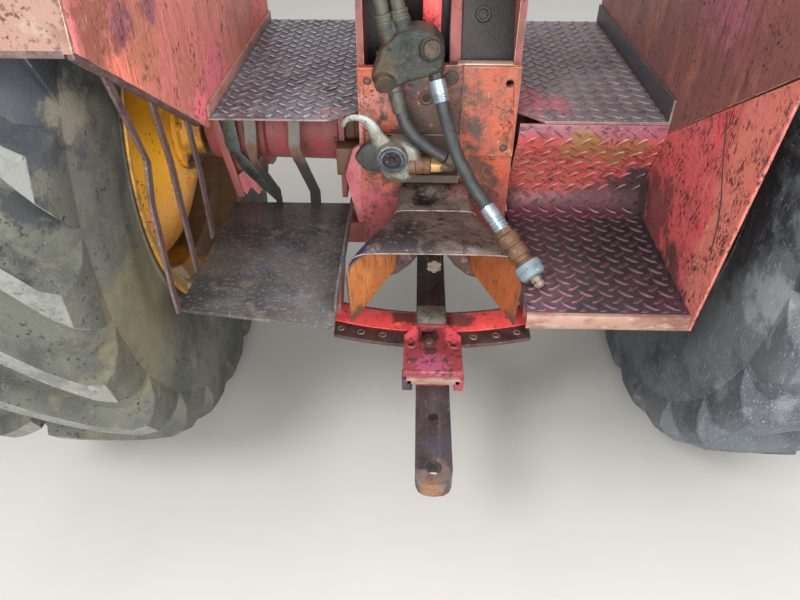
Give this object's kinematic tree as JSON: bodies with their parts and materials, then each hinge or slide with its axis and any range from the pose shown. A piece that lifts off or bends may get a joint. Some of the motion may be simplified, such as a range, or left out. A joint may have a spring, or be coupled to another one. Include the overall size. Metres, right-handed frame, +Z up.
{
  "type": "rear section of an articulated farm tractor",
  "caption": "Rear half-frame of an articulated farm tractor with axle, driven wheels, fenders, decks, steps, power take-off, hydraulic outlets and a swinging drawbar.",
  "frame": {"origin": "on the vertical axis of the articulation hinge, 70 mm above the axle centre line", "axes": "+X to the right of the tractor, +Y forward, +Z up"},
  "size_m": [2.1532, 1.885, 1.8213],
  "materials": {
    "greasy_iron": "cast iron under oil and dust",
    "red_enamel": "faded brick-red enamel, chipped and scratched",
    "zinc": "zinc-plated steel",
    "brass": "dull yellow brass",
    "tread_plate": "raised-pattern steel plate, paint worn off its ribs",
    "rusty_steel": "rusty brown pressed steel",
    "hose_rubber": "matt hose rubber",
    "bare_steel": "worn bare steel",
    "rim_steel": "rim steel with worn paint and rust",
    "worn_plate": "dark worn steel sheet",
    "tyre_rubber": "dusty, worn tyre rubber",
    "yellow_enamel": "golden yellow enamel, dusty and scuffed"
  },
  "bodies": {
    "rear_frame": {"axle_brackets": "greasy_iron", "axle_center_housing": "red_enamel", "axle_tube_left": "red_enamel", "axle_tube_right": "red_enamel", "coupler_body": "zinc", "coupler_bracket": "greasy_iron", "coupler_fitting": "brass", "deck_left": "tread_plate", "deck_right": "tread_plate", "drawbar_pivot_bracket": "red_enamel", "drawbar_support": "red_enamel", "fender_cover_left": "red_enamel", "fender_cover_right": "red_enamel", "fender_wall_left": "red_enamel", "fender_wall_right": "red_enamel", "frame_cross_plates": "red_enamel", "frame_overlay_plate": "red_enamel", "frame_rear_plate": "red_enamel", "frame_side_left": "red_enamel", "frame_side_right": "red_enamel", "hinge_lugs": "red_enamel", "hose_end": "zinc", "hose_long": "hose_rubber", "hose_short": "hose_rubber", "pto_carrier": "greasy_iron", "pto_housing": "greasy_iron", "pto_shield": "rusty_steel", "side_guard_right": "red_enamel", "step_left": "worn_plate", "step_right": "tread_plate", "step_stays_left": "worn_plate", "supply_pipes": "greasy_iron", "tower_cover": "worn_plate", "valve_block": "greasy_iron"},
    "wheel_left": {"tyre_left": "tyre_rubber", "rim_left": "rim_steel", "wheel_disc_left": "yellow_enamel", "wheel_hub_left": "greasy_iron"},
    "wheel_right": {"tyre_right": "tyre_rubber", "rim_right": "rim_steel", "wheel_disc_right": "yellow_enamel", "wheel_hub_right": "greasy_iron"},
    "drawbar": {"drawbar": "rusty_steel", "drawbar_carrier": "red_enamel"},
    "pto_shaft": {"pto_shaft": "bare_steel"}
  },
  "joints": [
    {"name": "wheel_left_spin", "type": "hinge", "parent": "rear_frame", "child": "wheel_left", "pos_m": [-0.83, -0.95, -0.07], "axis": [1, 0, 0], "continuous": true},
    {"name": "wheel_right_spin", "type": "hinge", "parent": "rear_frame", "child": "wheel_right", "pos_m": [0.83, -0.95, -0.07], "axis": [1, 0, 0], "continuous": true},
    {"name": "drawbar_swing", "type": "hinge", "parent": "rear_frame", "child": "drawbar", "pos_m": [0, -0.56, -0.464], "axis": [0, 0, 1], "range_deg": [-12, 12]},
    {"name": "pto_spin", "type": "hinge", "parent": "rear_frame", "child": "pto_shaft", "pos_m": [0, -1.2, -0.24], "axis": [0, 1, 0], "continuous": true}
  ]
}
